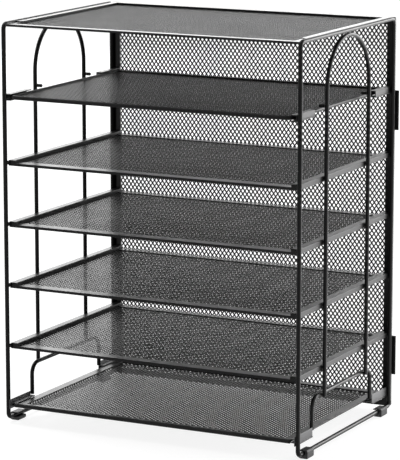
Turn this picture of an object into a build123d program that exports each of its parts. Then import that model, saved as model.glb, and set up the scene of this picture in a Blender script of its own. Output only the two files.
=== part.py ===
from build123d import *
import os
from math import floor

# Desk file organizer of black coated steel: two wire side frames carry a top panel,
# four fixed mesh shelves and two mesh trays that slide out to the front. A mesh panel
# closes the back. X is the width, the front faces -Y, Z is up, and the organizer
# stands on four clip-on feet with its origin under the middle of its base.

# Side frames, all sizes in millimetres
frame_wire = 4.5          # diameter of the wire of the outer loops
side_spacing = 330.0      # left loop to right loop, between wire centres
post_spacing = 225.0      # front post to rear post, between wire centres
frame_height = 408.2      # bottom rail to top rail, between wire centres
corner_bend = 8.0         # bend radius of a loop's corners, on the wire's centre
weld_gap = 0.05           # hair gap between pieces that are welded together

# Tall arch inside each side frame
arch_wire = 4.2
arch_setback = 61.5       # front leg behind the front post
arch_span = 101.7         # front leg to rear leg

# Low guard beside the lowest tray
guard_wire = 4.2
guard_setback = 41.2      # front leg behind the front post
guard_span = 142.6        # front leg to rear leg
guard_rise = 49.1         # top of the guard above the bottom rail, both on their centres
guard_bend = 12.0
guard_foot_rise = 16.5    # lower ends of its legs over the bottom rail's centre

# Feet
foot_sole = 3.55          # plastic under the bottom rail
foot_length = 15.0
foot_width = 10.0
foot_cap = 0.9            # plastic over the bottom rail
foot_setbacks = (19.3, 23.0)  # middles of the front and the rear feet from the nearer post
foot_mouth = 3.2          # slot through which the foot snaps on to the rail
foot_chamfer = 1.2
foot_clearance = 0.1

# Fixed shelves
shelf_count = 4
first_shelf_rise = 79.0   # top of the lowest one's channels over the bottom rail's centre
shelf_pitch = 63.5
shelf_setback = 2.7       # front face behind the centre of the front posts
shelf_rear_gap = 0.2      # to the back panel
channel_width = 8.0       # channels along the shelves' sides
channel_height = 5.1
channel_sheet = 1.2
channel_round = 0.7       # bend round the channels' tops
front_strip = 12.0        # folded strips at the shelves' front and rear, from edge to mesh
rear_strip = 9.0
strip_fold = 2.0          # thickness of the folded strips

# Expanded mesh, drawn at a coarse pitch
mesh_sheet = 0.8
mesh_lap = 5.0            # mesh under the top panel's and the lower tray's borders
gap_width = 26.5          # pitch of the diamonds across
gap_height = 22.8         # pitch of the diamonds along the depth
back_gap_width = 31.0
back_gap_height = 39.0
solid_share = 0.27        # part of each pitch that stays solid between two diamonds

# Top panel
top_border = 7.4
top_hem = 2.0             # thickness of the folded border
top_rise = 1.2            # top face over the centre of the top rails
top_step = 1.2            # front strip under the raised sides
top_step_setback = 21.0   # raised sides' ends behind the front edge
top_step_round = 5.0      # rounding of those ends' inner corners
top_flange = 3.5          # lower edge of the front face under the raised sides
top_edge_round = 0.6
tongue_width = 180.0      # tongue that laps over the back panel
tongue_drop = 1.8         # tongue's top face under the panel's
tongue_sheet = 1.2
tongue_gap = 0.3

# Back panel
back_overhang = 1.0       # side edge beyond the centre of the rear post
back_fold = 3.0           # thickness of the folded border
back_side_border = 9.4
back_top_border = 8.0
back_bottom_border = 5.8
back_rise = 1.2           # top edge over the centre of the top rails
back_fall = 1.6           # bottom edge under the centre of the bottom rails
back_corner = 2.5
ear_sheet = 1.2
ear_length = 41.5
ear_heights = (53.6, 312.9)   # middles of the ears over the bottom rail
ear_reach = 5.1           # ear's outer edge beyond the centre of the rear post

# Sliding trays
rim_wire = 4.3            # round rim of the upper tray and front bar of the lower
tray_front_reach = 4.35   # upper tray's front before the centre of the front posts
tray_inset = 7.0          # rim's side before the centre of a side wire
tray_corner = 6.0
tray_rear_gap = 3.0       # rear rim before the centre of the rear posts
upper_tray_height = 334.5     # rim's centre over the bottom rail's centre
lower_tray_height = 13.9
lower_edge = 1.6          # thickness of the lower tray's flat edge
lower_border = 9.0
lower_tray_inset = 8.3
lower_front_reach = 2.7
lower_bar_lift = 0.2      # front bar's centre over the flat edge's middle

# Guides in which the trays run
guide_sheet = 1.0
guide_lip = 6.6           # width of the lips over and under the tray's edge
run_clearance = 0.3       # over and under a tray's edge
lower_web_drop = 1.9      # lower guide's side wall under its lower lip
lower_web_rise = 3.7      # and over its upper lip
retainer = 3.4            # pegs on the arches over the upper tray's rim
retainer_reach = 8.0      # their inner ends before the centre of a side wire

# Places that follow from the sizes above
rail_z = foot_sole + frame_wire / 2
top_rail_z = rail_z + frame_height
rear_reach = frame_wire / 2 + weld_gap + back_fold
front_y = -(post_spacing + rear_reach - tray_front_reach) / 2
rear_y = front_y + post_spacing
side_x = side_spacing / 2
post_inner_x = side_x - frame_wire / 2 - weld_gap
back_half_width = side_x + back_overhang
tray_half_width = side_x - tray_inset
lower_half_width = side_x - lower_tray_inset
guard_x = side_x - (arch_wire + guard_wire) / 2 - weld_gap
guard_top_z = rail_z + guard_rise
arch_front_y = front_y + arch_setback
arch_rear_y = arch_front_y + arch_span
arch_leg_ys = (arch_front_y, arch_rear_y)
guard_front_y = front_y + guard_setback
guard_rear_y = guard_front_y + guard_span
upper_tray_z = rail_z + upper_tray_height
lower_tray_z = rail_z + lower_tray_height
sides = (("left", -1), ("right", 1))
ends = (("front", front_y, 1), ("rear", rear_y, -1))

os.makedirs("parts", exist_ok=True)


def save(piece, name):
    """Label a finished piece and write it."""
    piece.label = name
    export_step(piece, f"parts/{name}.step")


def wire_along(path, diameter):
    """Sweep a round wire along the path of a BuildLine, inside a BuildPart."""
    spine = path.wires()[0]
    with BuildSketch(Plane(origin=spine @ 0, z_dir=spine % 0)) as profile:
        Circle(diameter / 2)
    sweep(profile.sketch, path=spine)


def diamonds(width, height, pitch_x, pitch_y):
    """Cut staggered diamonds out of the middle of a sketch, inside a BuildSketch."""
    across = floor(width / pitch_x)
    along = floor(height / pitch_y)
    half_x = pitch_x * (1 - solid_share) / 2
    half_y = pitch_y * (1 - solid_share) / 2
    corners = ((half_x, 0), (0, half_y), (-half_x, 0), (0, -half_y))
    with GridLocations(pitch_x, pitch_y, across, along):
        Polygon(*corners, align=None, mode=Mode.SUBTRACT)
    with GridLocations(pitch_x, pitch_y, across - 1, along - 1):
        Polygon(*corners, align=None, mode=Mode.SUBTRACT)


# Outer loops: one closed wire each, with the posts and the rails
for side, sign in sides:
    with BuildPart() as side_frame:
        with BuildLine(Plane.YZ.offset(sign * side_x)) as loop:
            FilletPolyline(
                (front_y, rail_z), (front_y, top_rail_z), (rear_y, top_rail_z), (rear_y, rail_z),
                radius=corner_bend, close=True,
            )
        wire_along(loop, frame_wire)
    save(side_frame.part, f"side_frame_{side}")

# Arches: inverted U wires, welded under the top rail and to the outside of the guard
arch_top_z = top_rail_z - (frame_wire + arch_wire) / 2 - weld_gap
arch_spring_z = arch_top_z - arch_span / 2
arch_foot_z = guard_top_z - guard_wire / 2
for side, sign in sides:
    with BuildPart() as arch:
        with BuildLine(Plane.YZ.offset(sign * side_x)) as bow:
            Line((arch_front_y, arch_foot_z), (arch_front_y, arch_spring_z))
            ThreePointArc(
                (arch_front_y, arch_spring_z),
                (arch_front_y + arch_span / 2, arch_top_z),
                (arch_rear_y, arch_spring_z),
            )
            Line((arch_rear_y, arch_spring_z), (arch_rear_y, arch_foot_z))
        wire_along(bow, arch_wire)
    save(arch.part, f"arch_{side}")

# Guides: short side channels in which the edges of the two trays run. Their side walls
# lie against the posts; those of the lower ones end at the guards' legs
upper_slot = rim_wire + 2 * run_clearance
lower_slot = lower_edge + 2 * run_clearance
web_x = post_inner_x - guide_sheet / 2
lip_x = post_inner_x - guide_lip / 2
guide_length = guard_setback - guard_wire / 2 - weld_gap
bar_rear_y = front_y - lower_front_reach + rim_wire
levels = (
    ("upper", upper_tray_z, upper_slot, 0.0, 0.0, front_y - frame_wire / 2),
    ("lower", lower_tray_z, lower_slot, lower_web_drop, lower_web_rise, bar_rear_y + run_clearance),
)
for level, height, slot, web_drop, web_rise, lip_start_y in levels:
    web_height = slot + 2 * guide_sheet + web_drop + web_rise
    web_z = height + (web_rise - web_drop) / 2
    for end, post_y, inward in ends:
        outer_y = post_y - inward * frame_wire / 2
        inner_y = post_y + inward * guide_length
        lip_outer_y = max(outer_y, lip_start_y)
        for side, sign in sides:
            with BuildPart() as guide:
                with Locations((sign * web_x, (inner_y + outer_y) / 2, web_z)):
                    Box(guide_sheet, abs(inner_y - outer_y), web_height)
                with Locations((sign * lip_x, (inner_y + lip_outer_y) / 2, height)):
                    with Locations(*[(0, 0, up * (slot + guide_sheet) / 2) for up in (-1, 1)]):
                        Box(guide_lip, abs(inner_y - lip_outer_y), guide_sheet)
            save(guide.part, f"{level}_guide_{end}_{side}")

# Low guards: hat-shaped wires that keep things on the lowest tray, welded to the inner
# ends of the lower guides
guard_foot_z = rail_z + guard_foot_rise
for side, sign in sides:
    with BuildPart() as side_guard:
        with BuildLine(Plane.YZ.offset(sign * guard_x)) as hat:
            FilletPolyline(
                (guard_front_y, guard_foot_z), (guard_front_y, guard_top_z),
                (guard_rear_y, guard_top_z), (guard_rear_y, guard_foot_z),
                radius=guard_bend,
            )
        wire_along(hat, guard_wire)
    save(side_guard.part, f"side_guard_{side}")

# Top panel: a mesh in a folded border whose sides and rear stand a step over its front,
# with a tongue over the back panel
top_width = 2 * post_inner_x
top_front_y = front_y
top_rear_y = rear_y + frame_wire / 2 - tongue_gap
top_length = top_rear_y - top_front_y
top_middle_y = (top_front_y + top_rear_y) / 2
top_z = top_rail_z + top_rise
top_step_y = top_front_y + top_step_setback
back_top_z = top_rail_z + back_rise
tongue_top_z = top_z - tongue_drop
tongue_rear_y = rear_y + rear_reach
with BuildPart() as top_panel_border:
    with BuildSketch(Plane.XY.offset(top_z - top_hem)):
        with Locations((0, top_middle_y)):
            Rectangle(top_width, top_length)
            Rectangle(top_width - 2 * top_border, top_length - 2 * top_border, mode=Mode.SUBTRACT)
    extrude(amount=top_hem - top_step)
    with BuildSketch(Plane.XY.offset(top_z - top_flange)):
        with Locations((0, top_front_y + top_hem / 2)):
            Rectangle(top_width, top_hem)
    extrude(amount=top_flange - top_hem)
    front_edge = top_panel_border.edges().filter_by(Axis.X).group_by(Axis.Z)[-1].sort_by(Axis.Y)[0]
    fillet(front_edge, top_edge_round)
    with BuildSketch(Plane.XY.offset(top_z - top_step)) as raised:
        with Locations((0, (top_step_y + top_rear_y) / 2)):
            Rectangle(top_width, top_rear_y - top_step_y)
        with Locations((0, (top_step_y + top_rear_y - top_border) / 2)):
            Rectangle(top_width - 2 * top_border, top_rear_y - top_border - top_step_y, mode=Mode.SUBTRACT)
        fillet(raised.vertices().group_by(Axis.Y)[0].sort_by(Axis.X)[1:3], top_step_round)
    extrude(amount=top_step)
    with BuildSketch(Plane.XY.offset(tongue_top_z)):
        with Locations((0, (top_rear_y - top_border + tongue_rear_y) / 2)):
            Rectangle(tongue_width - 2 * tongue_gap, tongue_rear_y - top_rear_y + top_border)
    extrude(amount=-tongue_sheet)
save(top_panel_border.part, "top_panel_border")

with BuildPart() as top_panel_mesh:
    with BuildSketch(Plane.XY.offset(top_z - top_hem - mesh_sheet)):
        with Locations((0, top_middle_y)):
            Rectangle(top_width - 2 * mesh_lap, top_length - 2 * mesh_lap)
            diamonds(top_width - 2 * top_border, top_length - 2 * top_border, gap_width, gap_height)
    extrude(amount=mesh_sheet)
    with BuildSketch(Plane.XY.offset(top_z - top_hem - mesh_sheet)):
        with Locations((0, (top_rear_y - top_border + tongue_rear_y) / 2)):
            Rectangle(tongue_width, tongue_rear_y - top_rear_y + top_border)
    extrude(amount=mesh_sheet, mode=Mode.SUBTRACT)
save(top_panel_mesh.part, "top_panel_mesh")

# Back panel: a mesh held in a folded border behind the rear posts, which has a notch
# for the top panel's tongue
back_front_y = rear_y + frame_wire / 2 + weld_gap
back_bottom_z = rail_z - back_fall
back_height = back_top_z - back_bottom_z
window_width = 2 * (back_half_width - back_side_border)
window_height = back_height - back_top_border - back_bottom_border
window_z = back_bottom_z + back_bottom_border + window_height / 2
notch_depth = back_top_z - tongue_top_z + tongue_sheet + tongue_gap
with BuildPart() as back_panel_border:
    with BuildSketch(Plane.XZ.offset(-back_front_y)):
        with Locations((0, back_bottom_z + back_height / 2)):
            RectangleRounded(2 * back_half_width, back_height, back_corner)
        with Locations((0, window_z)):
            Rectangle(window_width, window_height, mode=Mode.SUBTRACT)
        with Locations((0, back_top_z)):
            Rectangle(tongue_width, 2 * notch_depth, mode=Mode.SUBTRACT)
    extrude(amount=-back_fold)
save(back_panel_border.part, "back_panel_border")

with BuildPart() as back_panel_mesh:
    with BuildSketch(Plane.XZ.offset(-back_front_y - (back_fold - mesh_sheet) / 2)):
        with Locations((0, window_z)):
            Rectangle(window_width - 2 * weld_gap, window_height - 2 * weld_gap)
            diamonds(window_width, window_height, back_gap_width, back_gap_height)
    extrude(amount=-mesh_sheet)
save(back_panel_mesh.part, "back_panel_mesh")

# Ears of the back panel: flat tabs that stand out behind the rear posts
ear_rear_y = back_front_y + back_fold
ear_outer_x = side_x + ear_reach
ear_inner_x = back_half_width + weld_gap
with BuildPart() as back_panel_ears:
    with BuildSketch(Plane.XZ.offset(-ear_rear_y)):
        for ear_height in ear_heights:
            for side, sign in sides:
                with Locations((sign * (ear_inner_x + ear_outer_x) / 2, rail_z + ear_height)):
                    Rectangle(ear_outer_x - ear_inner_x, ear_length)
    extrude(amount=ear_sheet)
save(back_panel_ears.part, "back_panel_ears")

# Fixed shelves: a channel along each side, welded to the posts and the arch's legs, a
# lower folded strip at the front and the rear, and a mesh held in the middle of them
shelf_front_y = front_y + shelf_setback
shelf_rear_y = back_front_y - shelf_rear_gap
shelf_depth = shelf_rear_y - shelf_front_y
shelf_middle_y = (shelf_front_y + shelf_rear_y) / 2
channel_x = post_inner_x - channel_width / 2
strip_width = 2 * (post_inner_x - channel_width)
bed_depth = shelf_depth - front_strip - rear_strip
bed_middle_y = shelf_middle_y + (front_strip - rear_strip) / 2
for number in range(1, shelf_count + 1):
    shelf_bottom_z = rail_z + first_shelf_rise + (number - 1) * shelf_pitch - channel_height
    with BuildPart() as shelf_border:
        with BuildSketch(Plane.XY.offset(shelf_bottom_z)):
            with Locations((-channel_x, shelf_middle_y), (channel_x, shelf_middle_y)):
                Rectangle(channel_width, shelf_depth)
        extrude(amount=channel_height)
        fillet(shelf_border.faces().group_by(Axis.Z)[-1].edges(), channel_round)
        with BuildSketch(Plane.XY.offset(shelf_bottom_z)):
            with Locations((-channel_x, shelf_middle_y), (channel_x, shelf_middle_y)):
                Rectangle(channel_width - 2 * channel_sheet, shelf_depth - 2 * channel_sheet)
        extrude(amount=channel_height - channel_sheet, mode=Mode.SUBTRACT)
        with BuildSketch(Plane.XY.offset(shelf_bottom_z)):
            with Locations((0, shelf_middle_y)):
                Rectangle(strip_width, shelf_depth)
            with Locations((0, bed_middle_y)):
                Rectangle(strip_width, bed_depth, mode=Mode.SUBTRACT)
        extrude(amount=strip_fold)
    save(shelf_border.part, f"shelf_{number}_border")

    with BuildPart() as shelf_mesh:
        with BuildSketch(Plane.XY.offset(shelf_bottom_z + (strip_fold - mesh_sheet) / 2)):
            with Locations((0, bed_middle_y)):
                Rectangle(strip_width - 2 * weld_gap, bed_depth - 2 * weld_gap)
                diamonds(strip_width, bed_depth, gap_width, gap_height)
        extrude(amount=mesh_sheet)
    save(shelf_mesh.part, f"shelf_{number}_mesh")

# Upper sliding tray: a round rim all round and a mesh floor between
rim_x = tray_half_width - rim_wire / 2
rim_front_y = front_y - tray_front_reach + rim_wire / 2
rim_rear_y = rear_y - tray_rear_gap
with BuildPart() as upper_tray_rim:
    with BuildLine(Plane.XY.offset(upper_tray_z)) as rim_path:
        FilletPolyline(
            (-rim_x, rim_front_y), (rim_x, rim_front_y), (rim_x, rim_rear_y), (-rim_x, rim_rear_y),
            radius=tray_corner, close=True,
        )
    wire_along(rim_path, rim_wire)
save(upper_tray_rim.part, "upper_tray_rim")

with BuildPart() as upper_tray_mesh:
    floor_width = 2 * rim_x - rim_wire - 2 * weld_gap
    floor_depth = rim_rear_y - rim_front_y - rim_wire - 2 * weld_gap
    with BuildSketch(Plane.XY.offset(upper_tray_z - mesh_sheet / 2)):
        with Locations((0, (rim_front_y + rim_rear_y) / 2)):
            RectangleRounded(floor_width, floor_depth, tray_corner - rim_wire / 2)
            diamonds(floor_width, floor_depth, gap_width, gap_height)
    extrude(amount=mesh_sheet)
save(upper_tray_mesh.part, "upper_tray_mesh")

# Lower sliding tray: a round front bar, a flat border on the other sides, a mesh floor
lower_rear_y = rim_rear_y + rim_wire / 2
lower_bar_y = front_y - lower_front_reach + rim_wire / 2
with BuildPart() as lower_tray_border:
    with BuildSketch(Plane.XY.offset(lower_tray_z - lower_edge / 2)):
        with Locations((0, (lower_bar_y + lower_rear_y) / 2)):
            depth = lower_rear_y - lower_bar_y
            Rectangle(2 * lower_half_width, depth)
            Rectangle(2 * (lower_half_width - lower_border), depth - 2 * lower_border, mode=Mode.SUBTRACT)
    extrude(amount=lower_edge)
    with BuildSketch(Plane.YZ.offset(-lower_half_width)):
        with Locations((lower_bar_y, lower_tray_z + lower_bar_lift)):
            Circle(rim_wire / 2)
    extrude(amount=2 * lower_half_width)
save(lower_tray_border.part, "lower_tray_border")

with BuildPart() as lower_tray_mesh:
    floor_width = 2 * (lower_half_width - lower_border)
    floor_depth = lower_rear_y - lower_bar_y - 2 * lower_border
    with BuildSketch(Plane.XY.offset(lower_tray_z - lower_edge / 2 - mesh_sheet)):
        with Locations((0, (lower_bar_y + lower_rear_y) / 2)):
            Rectangle(floor_width + mesh_lap, floor_depth + mesh_lap)
            diamonds(floor_width, floor_depth, gap_width, gap_height)
    extrude(amount=mesh_sheet)
save(lower_tray_mesh.part, "lower_tray_mesh")

# Retaining pegs on the arches, just over the upper tray's rim
with BuildPart() as retaining_pegs:
    retainer_z = upper_tray_z + rim_wire / 2 + run_clearance + retainer / 2
    retainer_end = side_x - retainer_reach
    for side, sign in sides:
        with BuildSketch(Plane.YZ.offset(sign * retainer_end)):
            with Locations(*[(leg_y, retainer_z) for leg_y in arch_leg_ys]):
                Circle(retainer / 2)
        extrude(amount=sign * (side_x - arch_wire / 2 - weld_gap - retainer_end))
save(retaining_pegs.part, "retaining_pegs")

# Feet: plastic blocks that snap on to the bottom rails from below
foot_top_z = rail_z + frame_wire / 2 + foot_cap
for (end, post_y, inward), foot_setback in zip(ends, foot_setbacks):
    foot_y = post_y + inward * foot_setback
    for side, sign in sides:
        with BuildPart() as foot:
            with Locations((sign * side_x, foot_y, 0)):
                Box(foot_width, foot_length, foot_top_z, align=(Align.CENTER, Align.CENTER, Align.MIN))
            chamfer(foot.edges().filter_by(Axis.Y) + foot.faces().sort_by(Axis.Z)[0].edges().filter_by(Axis.X),
                    foot_chamfer)
            with BuildSketch(Plane.XZ.offset(-foot_y)):
                with Locations((sign * side_x, rail_z)):
                    Circle(frame_wire / 2 + foot_clearance)
                    with Locations((-sign * foot_width / 2, 0)):
                        Rectangle(foot_width, foot_mouth)
            extrude(amount=foot_length, both=True, mode=Mode.SUBTRACT)
        save(foot.part, f"foot_{end}_{side}")
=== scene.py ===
from math import pi, radians, sin

import bmesh
import bpy
from bmesh.types import BMEdge, BMVert
from mathutils import Matrix, Vector


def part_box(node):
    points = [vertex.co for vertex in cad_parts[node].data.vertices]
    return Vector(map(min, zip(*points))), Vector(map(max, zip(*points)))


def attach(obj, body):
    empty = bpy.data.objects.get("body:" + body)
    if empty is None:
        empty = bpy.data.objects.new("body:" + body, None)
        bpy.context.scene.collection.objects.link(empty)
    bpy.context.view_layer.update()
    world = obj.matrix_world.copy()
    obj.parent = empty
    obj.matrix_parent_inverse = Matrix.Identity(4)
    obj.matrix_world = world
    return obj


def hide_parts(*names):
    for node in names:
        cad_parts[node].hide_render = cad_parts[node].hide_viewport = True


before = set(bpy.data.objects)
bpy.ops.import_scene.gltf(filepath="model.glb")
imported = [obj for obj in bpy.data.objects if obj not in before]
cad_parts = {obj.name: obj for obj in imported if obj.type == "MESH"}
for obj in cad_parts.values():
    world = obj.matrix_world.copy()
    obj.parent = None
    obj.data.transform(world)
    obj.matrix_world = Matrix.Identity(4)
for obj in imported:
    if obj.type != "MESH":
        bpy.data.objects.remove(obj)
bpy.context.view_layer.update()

# The view: a long lens to the right of the organizer and a little above it, which looks
# slightly down and isn't tilted sideways.
look_down, look_left = 10.815, 27.10
eye = bpy.data.cameras.new("eye")
eye.lens = 215.6
eye.clip_end = 50
eye_stand = bpy.data.objects.new("eye", eye)
eye_stand.location = (1.26912, -2.481195, 0.73055)
eye_stand.rotation_euler = (radians(90 - look_down), 0, radians(look_left))
bpy.context.scene.collection.objects.link(eye_stand)
bpy.context.scene.camera = eye_stand
bpy.context.scene.view_settings.view_transform = "Standard"


# The studio: a pale floor under a pale sky, two large soft lamps behind, a small one
# overhead and two white cards of light that lie on the floor beside and behind it.
def studio_white(nodes, links, shader, white):
    """Let the camera, gloss and glass see plain white where other rays see the shader."""
    path = nodes.new("ShaderNodeLightPath")
    seen = path.outputs["Is Camera Ray"]
    for ray in ("Is Glossy Ray", "Is Transmission Ray"):
        either = nodes.new("ShaderNodeMath")
        either.operation = "MAXIMUM"
        links.new(seen, either.inputs[0])
        links.new(path.outputs[ray], either.inputs[1])
        seen = either.outputs[0]
    mix = nodes.new("ShaderNodeMixShader")
    links.new(seen, mix.inputs["Fac"])
    links.new(shader, mix.inputs[1])
    links.new(white, mix.inputs[2])
    return mix.outputs[0]


sky = bpy.data.worlds.new("studio_sky")
sky.use_nodes = True
bpy.context.scene.world = sky
sky_nodes, sky_links = sky.node_tree.nodes, sky.node_tree.links
sky_nodes.clear()
sky_place = sky_nodes.new("ShaderNodeTexCoord")
sky_axes = sky_nodes.new("ShaderNodeSeparateXYZ")
sky_links.new(sky_place.outputs["Generated"], sky_axes.inputs[0])
sky_fade = sky_nodes.new("ShaderNodeMapRange")
sky_fade.inputs["From Min"].default_value = -0.5
sky_fade.inputs["From Max"].default_value = 0.6
sky_fade.inputs["To Min"].default_value = 0.2
sky_fade.inputs["To Max"].default_value = 0.9
sky_links.new(sky_axes.outputs["Y"], sky_fade.inputs["Value"])
sky_soft = sky_nodes.new("ShaderNodeBackground")
sky_soft.inputs["Color"].default_value = (1, 1, 1, 1)
sky_links.new(sky_fade.outputs["Result"], sky_soft.inputs["Strength"])
sky_white = sky_nodes.new("ShaderNodeBackground")
sky_white.inputs["Strength"].default_value = 1
sky_white.inputs["Color"].default_value = (1, 1, 1, 1)
sky_out = sky_nodes.new("ShaderNodeOutputWorld")
sky_links.new(
    studio_white(sky_nodes, sky_links, sky_soft.outputs[0], sky_white.outputs[0]),
    sky_out.inputs["Surface"],
)

floor_mesh = bmesh.new()
bmesh.ops.create_grid(floor_mesh, x_segments=1, y_segments=1, size=6)
floor_data = bpy.data.meshes.new("studio_floor")
floor_mesh.to_mesh(floor_data)
floor_mesh.free()
floor = bpy.data.objects.new("studio_floor", floor_data)
bpy.context.scene.collection.objects.link(floor)
floor_paint = bpy.data.materials.new("floor_white")
floor_paint.use_nodes = True
floor_nodes, floor_links = floor_paint.node_tree.nodes, floor_paint.node_tree.links
floor_shader = floor_nodes["Principled BSDF"]
floor_shader.inputs["Base Color"].default_value = (0.8, 0.8, 0.8, 1)
floor_shader.inputs["Roughness"].default_value = 0.9
floor_shader.inputs["Specular IOR Level"].default_value = 0.1
floor_glow = floor_nodes.new("ShaderNodeEmission")
floor_glow.inputs["Strength"].default_value = 1.25
floor_tone = floor_nodes.new("ShaderNodeMixShader")
floor_tone.inputs["Fac"].default_value = 0.7
floor_links.new(floor_shader.outputs[0], floor_tone.inputs[1])
floor_links.new(floor_glow.outputs[0], floor_tone.inputs[2])
floor_links.new(
    studio_white(floor_nodes, floor_links, floor_shader.outputs[0], floor_tone.outputs[0]),
    floor_nodes["Material Output"].inputs["Surface"],
)
floor_data.materials.append(floor_paint)


def soft_lamp(name, place, aim, wide, tall, power):
    """A soft panel lamp turned from its place towards its aim."""
    lamp = bpy.data.lights.new(name, "AREA")
    lamp.shape = "RECTANGLE"
    lamp.size = wide
    lamp.size_y = tall
    lamp.energy = power
    stand = bpy.data.objects.new(name, lamp)
    stand.visible_camera = False
    stand.location = place
    stand.rotation_euler = (Vector(aim) - Vector(place)).to_track_quat("-Z", "Y").to_euler()
    bpy.context.scene.collection.objects.link(stand)


soft_lamp("side_lamp", (1.6, 2.6, 0.62), aim=(0, 0, 0.2), wide=2.4, tall=1.2, power=110)
soft_lamp("back_lamp", (-1.3, 2.7, 0.95), aim=(0, 0, 0.3), wide=2.4, tall=1.6, power=41)
soft_lamp("roof_lamp", (-1.1, 0.0, 2.4), aim=(0, 0, 0.3), wide=0.6, tall=0.8, power=32)
soft_lamp("right_card", (0.70, 0.75, 0.002), aim=(0.70, 0.75, 1), wide=1.0, tall=1.8, power=14.4)
soft_lamp("rear_card", (-0.08, 0.90, 0.002), aim=(-0.08, 0.90, 1), wide=0.54, tall=1.5, power=6.5)


# The side frames: on each side one length of steel wire bent round four corners and
# butt welded into a closed loop, then powder coated satin black like all the steel.
def coat_grain():
    """Powder coat: fine orange peel, a slow drift of shade and a faint dusting of wear."""
    dust_lift, gloss_drift = 0.35, 0.12
    group = bpy.data.node_groups.new("coat_grain", "ShaderNodeTree")
    face = group.interface
    face.new_socket("Dark", in_out="INPUT", socket_type="NodeSocketColor")
    face.new_socket("Light", in_out="INPUT", socket_type="NodeSocketColor")
    face.new_socket("Gloss", in_out="INPUT", socket_type="NodeSocketFloat")
    face.new_socket("Peel Size", in_out="INPUT", socket_type="NodeSocketFloat")
    face.new_socket("Color", in_out="OUTPUT", socket_type="NodeSocketColor")
    face.new_socket("Roughness", in_out="OUTPUT", socket_type="NodeSocketFloat")
    face.new_socket("Normal", in_out="OUTPUT", socket_type="NodeSocketVector")
    made, link = group.nodes, group.links
    given, out = made.new("NodeGroupInput"), made.new("NodeGroupOutput")
    place = made.new("ShaderNodeTexCoord")
    peel = made.new("ShaderNodeTexNoise")
    peel.inputs["Detail"].default_value = 3
    link.new(place.outputs["Object"], peel.inputs["Vector"])
    link.new(given.outputs["Peel Size"], peel.inputs["Scale"])
    drift = made.new("ShaderNodeTexNoise")
    drift.inputs["Scale"].default_value = 45
    drift.inputs["Detail"].default_value = 4
    link.new(place.outputs["Object"], drift.inputs["Vector"])
    speck = made.new("ShaderNodeTexVoronoi")
    speck.inputs["Scale"].default_value = 900
    link.new(place.outputs["Object"], speck.inputs["Vector"])
    dust = made.new("ShaderNodeMapRange")
    dust.inputs["From Min"].default_value = 0.16
    dust.inputs["From Max"].default_value = 0.05
    link.new(speck.outputs["Distance"], dust.inputs["Value"])
    tone = made.new("ShaderNodeMath")
    tone.operation = "MULTIPLY_ADD"
    tone.inputs[1].default_value = dust_lift
    link.new(dust.outputs["Result"], tone.inputs[0])
    link.new(drift.outputs["Fac"], tone.inputs[2])
    shade = made.new("ShaderNodeMix")
    shade.data_type = "RGBA"
    link.new(tone.outputs[0], shade.inputs["Factor"])
    link.new(given.outputs["Dark"], shade.inputs["A"])
    link.new(given.outputs["Light"], shade.inputs["B"])
    link.new(shade.outputs["Result"], out.inputs["Color"])
    spread = made.new("ShaderNodeMath")
    spread.operation = "MULTIPLY_ADD"
    spread.inputs[1].default_value = gloss_drift
    link.new(drift.outputs["Fac"], spread.inputs[0])
    link.new(given.outputs["Gloss"], spread.inputs[2])
    link.new(spread.outputs[0], out.inputs["Roughness"])
    bump = made.new("ShaderNodeBump")
    bump.inputs["Strength"].default_value = 0.25
    bump.inputs["Distance"].default_value = 0.0002
    link.new(peel.outputs["Fac"], bump.inputs["Height"])
    link.new(bump.outputs["Normal"], out.inputs["Normal"])
    return group


coat = coat_grain()


def coated(name, dark, light, gloss, peel, specular):
    """A coat of powder paint or a moulded skin, from the same grain with its own values."""
    blue_dark, blue_light = 1.04, 1.03
    paint = bpy.data.materials.new(name)
    paint.use_nodes = True
    made, link = paint.node_tree.nodes, paint.node_tree.links
    shader = made["Principled BSDF"]
    shader.inputs["Specular IOR Level"].default_value = specular
    grain = made.new("ShaderNodeGroup")
    grain.node_tree = coat
    grain.inputs["Dark"].default_value = (dark, dark, dark * blue_dark, 1)
    grain.inputs["Light"].default_value = (light, light, light * blue_light, 1)
    grain.inputs["Gloss"].default_value = gloss
    grain.inputs["Peel Size"].default_value = peel
    link.new(grain.outputs["Color"], shader.inputs["Base Color"])
    link.new(grain.outputs["Roughness"], shader.inputs["Roughness"])
    link.new(grain.outputs["Normal"], shader.inputs["Normal"])
    return paint


wire_coat = coated("wire_coat", dark=0.002, light=0.006, gloss=0.26, peel=700, specular=0.12)


def fit(piece, body, replaced, paint, sharp=35):
    """Smooth a finished mesh, paint it and put it in the place of its CAD nodes."""
    piece.data.polygons.foreach_set("use_smooth", [True] * len(piece.data.polygons))
    piece.data.set_sharp_from_angle(angle=radians(sharp))
    piece.data.materials.clear()
    piece.data.materials.append(paint)
    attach(piece, body)
    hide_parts(*replaced)
    return piece


def from_shape(shape, name):
    """Write a bmesh to a new object and free it."""
    bmesh.ops.recalc_face_normals(shape, faces=shape.faces)
    data = bpy.data.meshes.new(name)
    shape.to_mesh(data)
    shape.free()
    piece = bpy.data.objects.new(name, data)
    bpy.context.scene.collection.objects.link(piece)
    return piece


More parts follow.
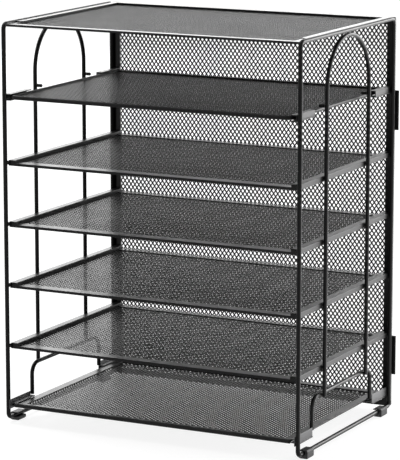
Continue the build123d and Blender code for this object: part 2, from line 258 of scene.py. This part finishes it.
def bent_wire(shape, corners, bend, radius, closed=False):
    """Bend a round wire along straight runs with rounded corners and add it to a bmesh.
    The grip is where a spline's handle has to sit to make its corner a quarter circle."""
    grip = bend * (1 - 0.5523)
    line = bpy.data.curves.new("bend", "CURVE")
    line.dimensions = "3D"
    line.bevel_depth = radius
    line.bevel_resolution = 4
    line.use_fill_caps = not closed
    line.resolution_u = 8
    spline = line.splines.new("BEZIER")
    spline.use_cyclic_u = closed
    knots = []
    count = len(corners)
    for i, corner in enumerate(corners):
        here = Vector(corner)
        if not closed and i in (0, count - 1):
            knots.append((here, here, here))
            continue
        back = (Vector(corners[i - 1]) - here).normalized()
        ahead = (Vector(corners[(i + 1) % count]) - here).normalized()
        knots.append((here + back * bend, here + back * bend, here + back * grip))
        knots.append((here + ahead * bend, here + ahead * grip, here + ahead * bend))
    spline.bezier_points.add(len(knots) - 1)
    for point, (place, before, after) in zip(spline.bezier_points, knots):
        point.handle_left_type = point.handle_right_type = "FREE"
        point.co, point.handle_left, point.handle_right = place, before, after
    rod = bpy.data.objects.new("bend", line)
    skin = bpy.data.meshes.new_from_object(rod)
    bpy.data.objects.remove(rod)
    shape.from_mesh(skin)
    bpy.data.meshes.remove(skin)


loop_rod, loop_bend, loop_x = 0.00225, 0.0052, 0.165
front_y, rear_y = -0.112975, 0.112025
rail_z, top_z = 0.0058, 0.4140
for side, sign in (("left", -1), ("right", 1)):
    loop = bmesh.new()
    x = sign * loop_x
    corners = [(x, front_y, rail_z), (x, front_y, top_z), (x, rear_y, top_z), (x, rear_y, rail_z)]
    bent_wire(loop, corners, loop_bend, loop_rod, closed=True)
    loop = from_shape(loop, f"side_loop_{side}")
    fit(loop, "frame", [f"side_frame_{side}"], wire_coat)


# The arches: a thinner wire bent into an inverted U in the plane of each side loop. Its
# crown is welded under the top rail and its legs end on the low guard.
def weld(shape, place, size):
    """A small flattened bead of weld, with its half width, depth and height as its size."""
    bead = bmesh.ops.create_icosphere(shape, subdivisions=2, radius=1)["verts"]
    bmesh.ops.scale(shape, vec=size, verts=bead)
    bmesh.ops.translate(shape, vec=place, verts=bead)


def only(kind, geom):
    """The vertices or the edges among what an operator gives back."""
    return [part for part in geom if isinstance(part, kind)]


arch_rod, arch_half = 0.0021, 0.05085
arch_y, arch_spring, arch_foot = -0.000625, 0.3587, 0.0528
arch_legs = (arch_y - arch_half, arch_y + arch_half)
crown_bead_z, crown_bead = arch_spring + arch_half + 0.0022, (0.0016, 0.005, 0.0011)
for side, sign in (("left", -1), ("right", 1)):
    bow = bmesh.new()
    x = sign * loop_x
    ring = bmesh.ops.create_circle(bow, segments=14, radius=arch_rod)["verts"]
    bmesh.ops.translate(bow, vec=(x, arch_legs[0], arch_foot), verts=ring)
    rise = bmesh.ops.extrude_edge_only(bow, edges=list(bow.edges))["geom"]
    bmesh.ops.translate(bow, vec=(0, 0, arch_spring - arch_foot), verts=only(BMVert, rise))
    turned = bmesh.ops.spin(
        bow, geom=only(BMEdge, rise), cent=(x, arch_y, arch_spring), axis=(1, 0, 0),
        angle=-pi, steps=40, use_merge=False,
    )["geom_last"]
    fall = bmesh.ops.extrude_edge_only(bow, edges=only(BMEdge, turned))["geom"]
    bmesh.ops.translate(bow, vec=(0, 0, arch_foot - arch_spring), verts=only(BMVert, fall))
    bmesh.ops.holes_fill(bow, edges=[e for e in bow.edges if e.is_boundary])
    weld(bow, (x, arch_y, crown_bead_z), crown_bead)
    bow = from_shape(bow, f"arch_bow_{side}")
    fit(bow, "frame", [f"arch_{side}"], wire_coat)


# The low guards: a hat-shaped wire on each side of the lowest tray. The arch's legs are
# welded to its outside, and its own feet to the inner ends of the lower guides.
guard_rod, guard_bend, guard_x = 0.0021, 0.012, 0.16075
guard_front, guard_rear = front_y + 0.0412, front_y + 0.1838
guard_low, guard_high = 0.0223, 0.0549
leg_bead_x, leg_bead_z, leg_bead = 0.1628, guard_high - 0.0006, (0.0011, 0.0024, 0.0013)
for side, sign in (("left", -1), ("right", 1)):
    hat = bmesh.new()
    x = sign * guard_x
    corners = [
        (x, guard_front, guard_low), (x, guard_front, guard_high),
        (x, guard_rear, guard_high), (x, guard_rear, guard_low),
    ]
    bent_wire(hat, corners, guard_bend, guard_rod)
    for leg in arch_legs:
        weld(hat, (sign * leg_bead_x, leg, leg_bead_z), leg_bead)
    hat = from_shape(hat, f"guard_hat_{side}")
    fit(hat, "frame", [f"side_guard_{side}"], wire_coat)


# The guides: short channels of folded steel sheet with a rolled hem along the foot, spot
# welded to the inner sides of the posts. The two sliding trays run between their lips.
def eased(name, node, body, paint, ease, crease=30, beads=(), rolled=0.0, lip=0.0):
    """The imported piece's own shape with its flat faces joined, its sharp edges rounded by
    ease and beads of weld added. Where rolled is given, the long top edge of the front is
    rounded by it and the front's lower edge is turned down by lip."""
    shape = bmesh.new()
    shape.from_mesh(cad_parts[node].data)
    bmesh.ops.remove_doubles(shape, verts=shape.verts, dist=1e-6)
    bmesh.ops.dissolve_limit(
        shape, angle_limit=radians(0.5), verts=shape.verts, edges=shape.edges
    )
    if rolled:
        hair, long_edge = 0.00001, 0.3
        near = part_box(node)[0] + Vector((0, hair, hair))
        under = [v for v in shape.verts if v.co.y < near.y and v.co.z < near.z]
        bmesh.ops.translate(shape, vec=(0, 0, -lip), verts=under)
        fronts = [
            e for e in shape.edges
            if e.calc_length() > long_edge and all(v.co.y < near.y for v in e.verts)
        ]
        roll = max(fronts, key=lambda e: e.verts[0].co.z)
        bmesh.ops.bevel(
            shape, geom=[roll], offset=rolled, offset_type="OFFSET", affect="EDGES",
            segments=4, profile=0.5, material=-1,
        )
    sharp = [e for e in shape.edges if e.is_manifold and e.calc_face_angle(0) > radians(crease)]
    bmesh.ops.bevel(
        shape, geom=sharp, offset=ease, offset_type="OFFSET", affect="EDGES", segments=2,
        profile=0.5, material=-1, clamp_overlap=True,
    )
    for place, size in beads:
        weld(shape, place, size)
    piece = fit(from_shape(shape, name), body, [node], paint, sharp=50)
    even = piece.modifiers.new("even", "WEIGHTED_NORMAL")
    even.keep_sharp = True


# The lower guides' coat has a far lighter base colour than the black steel elsewhere. This is
# painted light: it stands in for the bright floor that the low channels reflect. The upper guides
# keep the plain black coat.
guide_coats_lower_painted_light = {
    "upper": coated(
        "upper_guide_coat", dark=0.006, light=0.012, gloss=0.3, peel=550, specular=0.18
    ),
    "lower": coated(
        "lower_guide_painted_light_coat", dark=0.05, light=0.08, gloss=0.3, peel=550, specular=0.3
    ),
}
hem_rod, hem_inset, hem_lift = 0.0008, 0.0001, 0.0006
hem_post_gap, hem_end_gap = 0.0032, 0.0005
for level in ("upper", "lower"):
    for end in ("front", "rear"):
        for side, sign in (("left", -1), ("right", 1)):
            node = f"{level}_guide_{end}_{side}"
            eased(
                f"{level}_channel_{end}_{side}", node, "frame", guide_coats_lower_painted_light[level],
                ease=0.00025,
            )
            low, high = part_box(node)
            hem_x = sign * (max(abs(low.x), abs(high.x)) - hem_inset)
            hem_z = low.z + hem_lift
            if end == "front":
                hem_ends = (front_y + hem_post_gap, high.y - hem_end_gap)
            else:
                hem_ends = (low.y + hem_end_gap, rear_y - hem_post_gap)
            hem = bmesh.new()
            bent_wire(hem, [(hem_x, y, hem_z) for y in hem_ends], 0, hem_rod)
            hem = from_shape(hem, f"{level}_hem_{end}_{side}")
            fit(hem, "frame", [node], wire_coat)


# The back panel: expanded steel mesh, laid as a low and a high sheet, in a flat folded
# border that is welded to the rear posts from behind. Two flat tabs on each side stand
# out past the posts.
mesh_coat = coated("mesh_coat", dark=0.003, light=0.008, gloss=0.36, peel=900, specular=0.14)


def expanded_sheet(name, width, depth, body, node, place, turn, gape=1.0):
    """Steel slit and stretched into long six-sided holes: one pair of holes is repeated
    over the sheet and given its thickness. Each strand leans a little, and the gape
    widens or narrows the holes."""
    pitch_wide, pitch_tall, gauge = 0.00486, 0.00665, 0.0005
    hole_wide, hole_tall, hole_flank = 0.00138 * gape, 0.0020 * gape, 0.00012 * gape
    strand, point, lean = 0.0006, 0.00245, 0.0001
    columns, rows = round(width / pitch_wide), round(depth / pitch_tall)
    wide, tall = width / columns, depth / rows
    cell = bmesh.new()
    bmesh.ops.create_circle(cell, cap_ends=True, segments=6, radius=1)
    outer = list(cell.verts)
    bmesh.ops.scale(cell, vec=(wide / 2 / sin(pi / 3), point, 1), verts=outer)
    flank = [v for v in outer if abs(v.co.x) > wide / 4]
    bmesh.ops.scale(cell, vec=(1, (tall / 2 - point) / (point / 2), 1), verts=flank)
    ring = bmesh.ops.inset_individual(cell, faces=list(cell.faces), thickness=strand)
    hole = [f for f in cell.faces if f not in ring["faces"]]
    for vert in hole[0].verts:
        side = 1 if vert.co.x > wide / 8 else (-1 if vert.co.x < -wide / 8 else 0)
        up = 1 if vert.co.y > 0 else -1
        vert.co = (side * hole_wide, up * (hole_flank if side else hole_tall), up * lean)
    bmesh.ops.delete(cell, geom=hole, context="FACES")
    twin = bmesh.ops.duplicate(
        cell, geom=list(cell.verts) + list(cell.edges) + list(cell.faces)
    )["geom"]
    bmesh.ops.translate(cell, vec=(wide / 2, tall / 2, 0), verts=only(BMVert, twin))
    bmesh.ops.remove_doubles(cell, verts=cell.verts, dist=1e-5)
    first_cell = (-width / 2 + wide / 4, -depth / 2 + tall / 4, 0)
    bmesh.ops.translate(cell, vec=first_cell, verts=cell.verts)
    blank = from_shape(cell, name + "_cell")
    for count, step in ((columns, (wide, 0, 0)), (rows, (0, tall, 0))):
        repeat = blank.modifiers.new("repeat", "ARRAY")
        repeat.use_relative_offset = False
        repeat.use_constant_offset = True
        repeat.constant_offset_displace = step
        repeat.count = count
        repeat.use_merge_vertices = True
        repeat.use_merge_vertices_cap = False
        repeat.merge_threshold = 0.00002
    thick = blank.modifiers.new("thick", "SOLIDIFY")
    thick.thickness = gauge
    thick.offset = 0
    bpy.context.view_layer.update()
    finished = blank.evaluated_get(bpy.context.evaluated_depsgraph_get())
    whole = bpy.data.meshes.new_from_object(finished)
    bpy.data.objects.remove(blank)
    whole.transform(turn)
    whole.transform(Matrix.Translation(place))
    whole.materials.clear()
    whole.materials.append(mesh_coat)
    piece = bpy.data.objects.new(name, whole)
    bpy.context.scene.collection.objects.link(piece)
    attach(piece, body)
    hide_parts(node)


sheet_coat = coated("sheet_coat", dark=0.003, light=0.008, gloss=0.24, peel=550, specular=0.16)
eased("back_border", "back_panel_border", "frame", sheet_coat, ease=0.0005)
eased("back_ears", "back_panel_ears", "frame", sheet_coat, ease=0.0003)
low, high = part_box("back_panel_mesh")
tuck = 0.001
upright = Matrix.Rotation(pi / 2, 4, "X")
net_tall = (high.z - low.z) / 2 + tuck
net_middles = {
    "back_net_low": low.z - tuck + net_tall / 2,
    "back_net_high": high.z + tuck - net_tall / 2,
}
for name, middle in net_middles.items():
    expanded_sheet(
        name, high.x - low.x + 2 * tuck, net_tall, "frame", "back_panel_mesh",
        (0, (low.y + high.y) / 2, middle), upright, gape=1.07,
    )


# The fixed shelves: a channel of folded steel sheet along each side, welded to the posts
# and the arch's legs, lower folded strips at the front, which is rolled over, and at the
# rear, and the same expanded mesh held between them.
def level_sheet(name, body, node, width, depth, gape=1.0):
    """A level sheet of the mesh in the middle of its node's place, longer from side to side."""
    low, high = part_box(node)
    across = Matrix.Rotation(pi / 2, 4, "Z")
    expanded_sheet(name, depth, width, body, node, (low + high) / 2, across, gape)


shelf_coat = coated("shelf_coat", dark=0.003, light=0.008, gloss=0.3, peel=550, specular=0.15)
front_bead_x, front_bead_y = 0.1624, front_y + 0.0014
front_bead = (0.0016, 0.0022, 0.0021)
side_bead_x, side_bead = 0.16285, (0.0006, 0.0024, 0.0016)
net_tuck = 0.0015
for number in range(1, 5):
    low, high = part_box(f"shelf_{number}_border")
    middle = (low.z + high.z) / 2
    joints = []
    for sign in (-1, 1):
        joints.append(((sign * front_bead_x, front_bead_y, middle), front_bead))
        for y in (*arch_legs, rear_y):
            joints.append(((sign * side_bead_x, y, middle), side_bead))
    eased(
        f"shelf_edge_{number}", f"shelf_{number}_border", "frame", shelf_coat,
        ease=0.00012, beads=joints, rolled=0.0015, lip=0.0008,
    )
    node = f"shelf_{number}_mesh"
    low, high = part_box(node)
    width, depth = high.x - low.x + net_tuck, high.y - low.y + net_tuck
    level_sheet(f"shelf_net_{number}", "frame", node, width, depth)

# The top panel: the same mesh in a folded border whose sides and rear stand a step over
# its front. It is welded between the top rails, and its tongue laps over the back panel.
eased("top_border", "top_panel_border", "frame", sheet_coat, ease=0.0003)
level_sheet("top_net", "frame", "top_panel_mesh", width=0.3140, depth=0.2165, gape=0.85)

# The upper tray: a round rim bent from one steel wire, with mesh welded inside it. It
# isn't fixed to the frame, and slides out to the front in the upper guides.
rim_coat = coated("rim_coat", dark=0.002, light=0.006, gloss=0.4, peel=700, specular=0.14)
rim_rod, rim_bend = 0.00215, 0.006
low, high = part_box("upper_tray_rim")
left, right = low.x + rim_rod, high.x - rim_rod
near, far = low.y + rim_rod, high.y - rim_rod
middle = (low.z + high.z) / 2
corners = [(left, near, middle), (right, near, middle), (right, far, middle), (left, far, middle)]
rim = bmesh.new()
bent_wire(rim, corners, rim_bend, rim_rod, closed=True)
rim = from_shape(rim, "upper_rim_rod")
fit(rim, "upper_tray", ["upper_tray_rim"], rim_coat)
low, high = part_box("upper_tray_mesh")
width, depth = high.x - low.x + net_tuck, high.y - low.y + net_tuck
level_sheet("upper_tray_net", "upper_tray", "upper_tray_mesh", width, depth)

# The lower tray: flat edges folded from steel sheet round a mesh floor, and a round bar
# along its front to pull it by. It slides out to the front in the lower guides.
eased(
    "lower_tray_edge", "lower_tray_border", "lower_tray", shelf_coat, ease=0.0003
)
edge_gap = 0.004
low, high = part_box("lower_tray_mesh")
width, depth = high.x - low.x - edge_gap, high.y - low.y - edge_gap
level_sheet("lower_tray_net", "lower_tray", "lower_tray_mesh", width, depth)

# The retaining pegs: short rods welded to the arches' legs just over the upper tray's rim,
# which keep the tray from tipping when it is pulled out.
eased("rim_pegs", "retaining_pegs", "frame", wire_coat, ease=0.0004, crease=50)

# The feet: clips moulded in a matte grained black plastic, two for each side frame. They
# are pressed on to the bottom rails from below and carry the organizer.
foot_plastic = coated("foot_plastic", dark=0.018, light=0.04, gloss=0.5, peel=1200, specular=0.35)
for end in ("front", "rear"):
    for side in ("left", "right"):
        clip, node = f"foot_clip_{end}_{side}", f"foot_{end}_{side}"
        eased(clip, node, "frame", foot_plastic, ease=0.0004)
